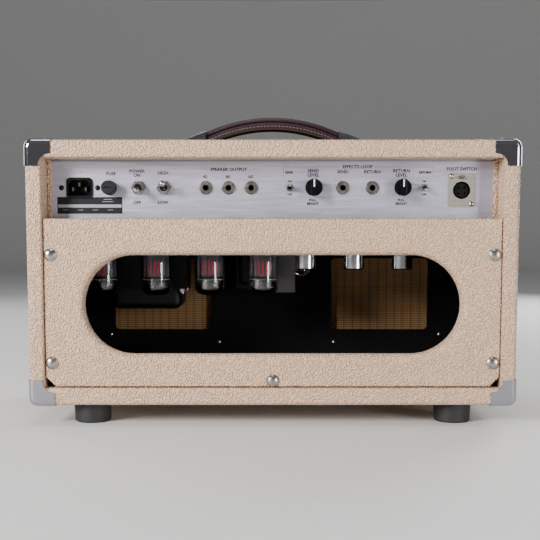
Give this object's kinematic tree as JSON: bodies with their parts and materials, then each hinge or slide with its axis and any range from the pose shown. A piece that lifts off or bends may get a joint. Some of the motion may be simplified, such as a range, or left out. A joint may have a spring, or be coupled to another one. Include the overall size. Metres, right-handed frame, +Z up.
{
  "type": "guitar amplifier head",
  "caption": "Valve guitar amplifier head: vinyl-covered case with slotted back panel, hung chassis, rear and front control panels, strap handle and rubber feet.",
  "frame": {"origin": "on the floor under the middle of the case", "axes": "+X across the case, to the right seen from the front, +Y towards the back with the sockets, +Z up"},
  "size_m": [0.5376, 0.2524, 0.346],
  "materials": {
    "vinyl_covered_ply": "pebbled vinyl over plywood",
    "black_painted_wood": "matt black paint",
    "grille_fabric": "woven",
    "piping_cord": "woven",
    "nickel_hardware": "nickel plated",
    "chromed_steel": "polished",
    "strap_leather": "smooth, stitched",
    "foot_rubber": "matt",
    "chassis_aluminium": "mill finish",
    "brushed_plate": "fine satin",
    "black_moulding": "moulded",
    "knob_plastic": "gloss",
    "pot_steel": "plated",
    "fuse_glass": "clear",
    "valve_glass": "clear",
    "anode_metal": "carbonised",
    "shield_aluminium": "bright",
    "black_enamel": "enamel",
    "lamp_jewel": "faceted, clear",
    "board_laminate": "laminate"
  },
  "bodies": {
    "case_and_chassis": {"back_panel": "vinyl_covered_ply", "cabinet_bottom_board": "vinyl_covered_ply", "cabinet_left_side": "vinyl_covered_ply", "cabinet_right_side": "vinyl_covered_ply", "cabinet_top_board": "vinyl_covered_ply", "chassis_pan": "chassis_aluminium", "circuit_board": "board_laminate", "corner_protectors": "chromed_steel", "corner_screws": "nickel_hardware", "cup_washers": "nickel_hardware", "foot_screws": "nickel_hardware", "footswitch_insert": "black_moulding", "footswitch_socket": "nickel_hardware", "front_baffle": "black_painted_wood", "front_face_plate": "brushed_plate", "fuse_holder": "black_moulding", "grille_cloth": "grille_fabric", "grille_piping": "piping_cord", "handle_end_caps": "chromed_steel", "handle_strap": "strap_leather", "jack_sockets": "black_moulding", "machine_bolts": "nickel_hardware", "panel_cleats": "black_painted_wood", "panel_nuts": "nickel_hardware", "panel_screws": "nickel_hardware", "pilot_lamp": "lamp_jewel", "potentiometers": "pot_steel", "power_inlet": "black_moulding", "power_inlet_pins": "nickel_hardware", "power_valve_anodes": "anode_metal", "power_valve_bases": "black_moulding", "power_valve_glass": "valve_glass", "preamp_valves": "valve_glass", "rear_face_plate": "brushed_plate", "rubber_feet": "foot_rubber", "socket_screws": "nickel_hardware", "toggle_switch_bodies": "black_moulding", "transformer_bells": "black_enamel", "transformer_cores": "pot_steel", "valve_shields": "shield_aluminium", "valve_sockets": "black_moulding"},
    "power_toggle_lever": {"power_toggle_lever": "chromed_steel"},
    "level_toggle_lever": {"level_toggle_lever": "chromed_steel"},
    "send_toggle_lever": {"send_toggle_lever": "chromed_steel"},
    "return_toggle_lever": {"return_toggle_lever": "chromed_steel"},
    "standby_toggle_lever": {"standby_toggle_lever": "chromed_steel"},
    "bright_toggle_lever": {"bright_toggle_lever": "chromed_steel"},
    "send_pull_collar": {"send_pull_collar": "chromed_steel"},
    "send_level_knob": {"send_level_knob": "knob_plastic"},
    "return_pull_collar": {"return_pull_collar": "chromed_steel"},
    "return_level_knob": {"return_level_knob": "knob_plastic"},
    "fuse_link": {"fuse_link": "fuse_glass"},
    "fuse_cap": {"fuse_cap": "black_moulding"},
    "footswitch_latch": {"footswitch_latch": "black_moulding"},
    "gain_knob": {"gain_knob": "knob_plastic"},
    "treble_knob": {"treble_knob": "knob_plastic"},
    "middle_knob": {"middle_knob": "knob_plastic"},
    "bass_knob": {"bass_knob": "knob_plastic"},
    "master_knob": {"master_knob": "knob_plastic"},
    "presence_knob": {"presence_knob": "knob_plastic"}
  },
  "joints": [
    {"name": "power_switch", "type": "hinge", "parent": "case_and_chassis", "child": "power_toggle_lever", "pos_m": [0.1484, 0.094, 0.2605], "axis": [1, 0, 0], "range_deg": [0, 24]},
    {"name": "level_switch", "type": "hinge", "parent": "case_and_chassis", "child": "level_toggle_lever", "pos_m": [0.1202, 0.094, 0.2605], "axis": [1, 0, 0], "range_deg": [-24, 0]},
    {"name": "send_switch", "type": "hinge", "parent": "case_and_chassis", "child": "send_toggle_lever", "pos_m": [-0.0191, 0.0925, 0.2605], "axis": [1, 0, 0], "range_deg": [-24, 0]},
    {"name": "return_switch", "type": "hinge", "parent": "case_and_chassis", "child": "return_toggle_lever", "pos_m": [-0.1677, 0.0925, 0.2605], "axis": [1, 0, 0], "range_deg": [0, 24]},
    {"name": "standby_switch", "type": "hinge", "parent": "case_and_chassis", "child": "standby_toggle_lever", "pos_m": [0.178, -0.102, 0.258], "axis": [-1, 0, 0], "range_deg": [0, 24]},
    {"name": "bright_switch", "type": "hinge", "parent": "case_and_chassis", "child": "bright_toggle_lever", "pos_m": [-0.157, -0.1005, 0.258], "axis": [-1, 0, 0], "range_deg": [0, 24]},
    {"name": "send_level_pull", "type": "slide", "parent": "case_and_chassis", "child": "send_pull_collar", "axis": [0, 1, 0], "range_m": [0, 0.005]},
    {"name": "send_level_turn", "type": "hinge", "parent": "send_pull_collar", "child": "send_level_knob", "pos_m": [-0.0454, 0.091, 0.2605], "axis": [0, 1, 0], "range_deg": [-150, 150]},
    {"name": "return_level_pull", "type": "slide", "parent": "case_and_chassis", "child": "return_pull_collar", "axis": [0, 1, 0], "range_m": [0, 0.005]},
    {"name": "return_level_turn", "type": "hinge", "parent": "return_pull_collar", "child": "return_level_knob", "pos_m": [-0.1432, 0.091, 0.2605], "axis": [0, 1, 0], "range_deg": [-150, 150]},
    {"name": "fuse_draw", "type": "slide", "parent": "case_and_chassis", "child": "fuse_link", "axis": [0, 1, 0], "range_m": [0, 0.04]},
    {"name": "fuse_cap_turn", "type": "hinge", "parent": "fuse_link", "child": "fuse_cap", "pos_m": [0.1805, 0.091, 0.2605], "axis": [0, 1, 0], "range_deg": [-90, 0]},
    {"name": "footswitch_release", "type": "slide", "parent": "case_and_chassis", "child": "footswitch_latch", "axis": [0, -1, 0], "range_m": [0, 0.002], "stiffness_N_per_m": 800, "springref_m": -0.001},
    {"name": "gain_turn", "type": "hinge", "parent": "case_and_chassis", "child": "gain_knob", "pos_m": [-0.117, -0.099, 0.258], "axis": [0, -1, 0], "range_deg": [-150, 150]},
    {"name": "treble_turn", "type": "hinge", "parent": "case_and_chassis", "child": "treble_knob", "pos_m": [-0.067, -0.099, 0.258], "axis": [0, -1, 0], "range_deg": [-150, 150]},
    {"name": "middle_turn", "type": "hinge", "parent": "case_and_chassis", "child": "middle_knob", "pos_m": [-0.017, -0.099, 0.258], "axis": [0, -1, 0], "range_deg": [-150, 150]},
    {"name": "bass_turn", "type": "hinge", "parent": "case_and_chassis", "child": "bass_knob", "pos_m": [0.033, -0.099, 0.258], "axis": [0, -1, 0], "range_deg": [-150, 150]},
    {"name": "master_turn", "type": "hinge", "parent": "case_and_chassis", "child": "master_knob", "pos_m": [0.083, -0.099, 0.258], "axis": [0, -1, 0], "range_deg": [-150, 150]},
    {"name": "presence_turn", "type": "hinge", "parent": "case_and_chassis", "child": "presence_knob", "pos_m": [0.133, -0.099, 0.258], "axis": [0, -1, 0], "range_deg": [-150, 150]}
  ]
}
